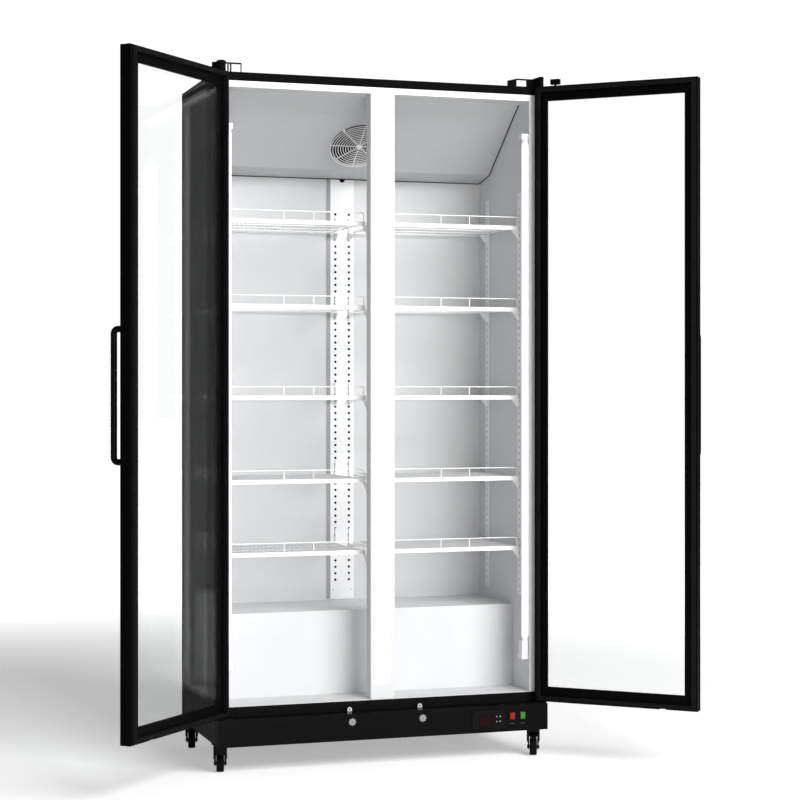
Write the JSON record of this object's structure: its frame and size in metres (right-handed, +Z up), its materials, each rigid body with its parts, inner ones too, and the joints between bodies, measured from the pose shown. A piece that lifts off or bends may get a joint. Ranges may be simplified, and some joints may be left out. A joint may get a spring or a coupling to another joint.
{
  "type": "glass door merchandiser",
  "caption": "Upright display fridge with hinged double glazed doors, wire shelves, a slanted evaporator cover with a ring fan guard, a front control base and swivel casters.",
  "frame": {"origin": "the point on the floor below the middle of the cabinet's front plane, which the doors close on", "axes": "+X to the right seen from the front, +Y to the back, +Z up"},
  "size_m": [1.7281, 0.8784, 2.027],
  "materials": {
    "black_coat": "satin",
    "galvanised": "satin",
    "door_black": "satin",
    "door_glass": "gloss",
    "door_seal": "matte",
    "liner_white": "satin",
    "white_coat": "satin",
    "lamp_white": "satin",
    "foam": "matte",
    "fan_black": "satin",
    "motor_steel": "satin",
    "fin_aluminium": "satin",
    "lock_chrome": "polished",
    "lock_steel": "satin",
    "button_grey": "satin",
    "rocker_red": "gloss",
    "rocker_green": "gloss",
    "caster_black": "satin",
    "caster_tyre": "matte",
    "brake_black": "satin"
  },
  "bodies": {
    "cabinet": {"outer_panels": "black_coat", "back_panels": "galvanised", "front_frame": "black_coat", "breaker_strip": "liner_white", "wall_insulation": "foam", "inner_liner": "liner_white", "centre_mullion": "liner_white", "mullion_lamp_cover": "lamp_white", "side_lamp_tubes": "lamp_white", "lamp_holders": "liner_white", "evaporator_cover": "white_coat", "fan_guard": "white_coat", "evaporator_fan_motor": "motor_steel", "evaporator_coil": "fin_aluminium", "rear_centre_standard": "white_coat", "side_standards": "white_coat", "shelf_decks": "white_coat", "shelf_guards": "white_coat", "shelf_clips": "white_coat", "chassis_pan": "galvanised", "base_front_panel": "black_coat", "lock_housings": "lock_steel", "controller_body": "fan_black", "rocker_bezels": "fan_black", "compressor": "black_coat", "condenser_coil": "fin_aluminium", "condenser_fan_motor": "motor_steel", "cable_gland": "fan_black", "hinge_brackets": "black_coat", "caster_plates": "caster_black"},
    "left_door": {"left_door_frame": "door_black", "left_door_glass": "door_glass", "left_door_gasket": "door_seal", "left_door_handle": "black_coat"},
    "right_door": {"right_door_frame": "door_black", "right_door_glass": "door_glass", "right_door_gasket": "door_seal", "right_door_handle": "black_coat"},
    "left_barrel": {"lock_barrel_left": "lock_chrome"},
    "left_bolt": {"lock_bolt_left": "lock_chrome"},
    "right_barrel": {"lock_barrel_right": "lock_chrome"},
    "right_bolt": {"lock_bolt_right": "lock_chrome"},
    "button_up": {"controller_button_up": "button_grey"},
    "button_set": {"controller_button_set": "button_grey"},
    "button_down": {"controller_button_down": "button_grey"},
    "button_power": {"controller_button_power": "button_grey"},
    "red_rocker": {"rocker_red": "rocker_red"},
    "green_rocker": {"rocker_green": "rocker_green"},
    "evaporator_fan": {"evaporator_fan_blade": "fan_black"},
    "condenser_fan": {"condenser_fan_blade": "fan_black"},
    "fork_fl": {"caster_fork_fl": "caster_black"},
    "wheel_fl": {"caster_wheel_fl": "caster_tyre"},
    "fork_fr": {"caster_fork_fr": "caster_black"},
    "wheel_fr": {"caster_wheel_fr": "caster_tyre"},
    "fork_rl": {"caster_fork_rl": "caster_black"},
    "wheel_rl": {"caster_wheel_rl": "caster_tyre"},
    "fork_rr": {"caster_fork_rr": "caster_black"},
    "wheel_rr": {"caster_wheel_rr": "caster_tyre"},
    "brake_fl": {"caster_brake_fl": "brake_black"},
    "brake_fr": {"caster_brake_fr": "brake_black"}
  },
  "joints": [
    {"name": "left_door_hinge", "type": "hinge", "parent": "cabinet", "child": "left_door", "pos_m": [-0.487, -0.024, 1], "axis": [0, 0, 1], "range_deg": [-11.7, 133.3]},
    {"name": "right_door_hinge", "type": "hinge", "parent": "cabinet", "child": "right_door", "pos_m": [0.487, -0.024, 1], "axis": [0, 0, 1], "range_deg": [-137.8, 7.2]},
    {"name": "left_lock_turn", "type": "hinge", "parent": "cabinet", "child": "left_barrel", "pos_m": [-0.107, -0.047, 0.137], "axis": [0, -1, 0], "range_deg": [0, 90]},
    {"name": "left_bolt_lift", "type": "slide", "parent": "cabinet", "child": "left_bolt", "axis": [0, 0, 1], "range_m": [0, 0.0121]},
    {"name": "right_lock_turn", "type": "hinge", "parent": "cabinet", "child": "right_barrel", "pos_m": [0.107, -0.047, 0.137], "axis": [0, -1, 0], "range_deg": [0, 90]},
    {"name": "right_bolt_lift", "type": "slide", "parent": "cabinet", "child": "right_bolt", "axis": [0, 0, 1], "range_m": [0, 0.0121]},
    {"name": "button_up_press", "type": "slide", "parent": "cabinet", "child": "button_up", "axis": [0, 1, 0], "range_m": [0, 0.0008], "stiffness_N_per_m": 600},
    {"name": "button_set_press", "type": "slide", "parent": "cabinet", "child": "button_set", "axis": [0, 1, 0], "range_m": [0, 0.0008], "stiffness_N_per_m": 600},
    {"name": "button_down_press", "type": "slide", "parent": "cabinet", "child": "button_down", "axis": [0, 1, 0], "range_m": [0, 0.0008], "stiffness_N_per_m": 600},
    {"name": "button_power_press", "type": "slide", "parent": "cabinet", "child": "button_power", "axis": [0, 1, 0], "range_m": [0, 0.0008], "stiffness_N_per_m": 600},
    {"name": "red_rocker_tilt", "type": "hinge", "parent": "cabinet", "child": "red_rocker", "pos_m": [0.387, -0.042, 0.128], "axis": [1, 0, 0], "range_deg": [-16, 0]},
    {"name": "green_rocker_tilt", "type": "hinge", "parent": "cabinet", "child": "green_rocker", "pos_m": [0.42, -0.042, 0.128], "axis": [1, 0, 0], "range_deg": [-16, 0]},
    {"name": "evaporator_fan_spin", "type": "hinge", "parent": "cabinet", "child": "evaporator_fan", "pos_m": [0, 0.243, 1.83683], "axis": [0, -0.5934, -0.8049], "continuous": true},
    {"name": "condenser_fan_spin", "type": "hinge", "parent": "cabinet", "child": "condenser_fan", "pos_m": [-0.26, 0.276, 0.232], "axis": [0, 1, 0], "continuous": true},
    {"name": "caster_fl_swivel", "type": "hinge", "parent": "cabinet", "child": "fork_fl", "pos_m": [-0.48, 0.019, 0.07], "axis": [0, 0, 1], "continuous": true},
    {"name": "caster_fl_roll", "type": "hinge", "parent": "fork_fl", "child": "wheel_fl", "pos_m": [-0.47516, 0.04046, 0.025], "axis": [-0.9755, 0.2198, 0], "continuous": true},
    {"name": "caster_fl_brake", "type": "hinge", "parent": "fork_fl", "child": "brake_fl", "pos_m": [-0.4745, 0.04339, 0.061], "axis": [-0.9755, 0.2198, 0], "range_deg": [0, 15]},
    {"name": "caster_fr_swivel", "type": "hinge", "parent": "cabinet", "child": "fork_fr", "pos_m": [0.48, 0.019, 0.07], "axis": [0, 0, 1], "continuous": true},
    {"name": "caster_fr_roll", "type": "hinge", "parent": "fork_fr", "child": "wheel_fr", "pos_m": [0.47187, -0.00144, 0.025], "axis": [0.9291, -0.3697, 0], "continuous": true},
    {"name": "caster_fr_brake", "type": "hinge", "parent": "fork_fr", "child": "brake_fr", "pos_m": [0.47076, -0.00423, 0.061], "axis": [0.9291, -0.3697, 0], "range_deg": [0, 15]},
    {"name": "caster_rl_swivel", "type": "hinge", "parent": "cabinet", "child": "fork_rl", "pos_m": [-0.48, 0.41, 0.07], "axis": [0, 0, 1], "continuous": true},
    {"name": "caster_rl_roll", "type": "hinge", "parent": "fork_rl", "child": "wheel_rl", "pos_m": [-0.47546, 0.43153, 0.025], "axis": [-0.9785, 0.2062, 0], "continuous": true},
    {"name": "caster_rr_swivel", "type": "hinge", "parent": "cabinet", "child": "fork_rr", "pos_m": [0.48, 0.41, 0.07], "axis": [0, 0, 1], "continuous": true},
    {"name": "caster_rr_roll", "type": "hinge", "parent": "fork_rr", "child": "wheel_rr", "pos_m": [0.45821, 0.41306, 0.025], "axis": [-0.1392, -0.9903, 0], "continuous": true}
  ],
  "couplings": [
    {"joint": "left_bolt_lift", "follows": "left_lock_turn", "m_per_rad": 0.0076394},
    {"joint": "right_bolt_lift", "follows": "right_lock_turn", "m_per_rad": 0.0076394}
  ]
}
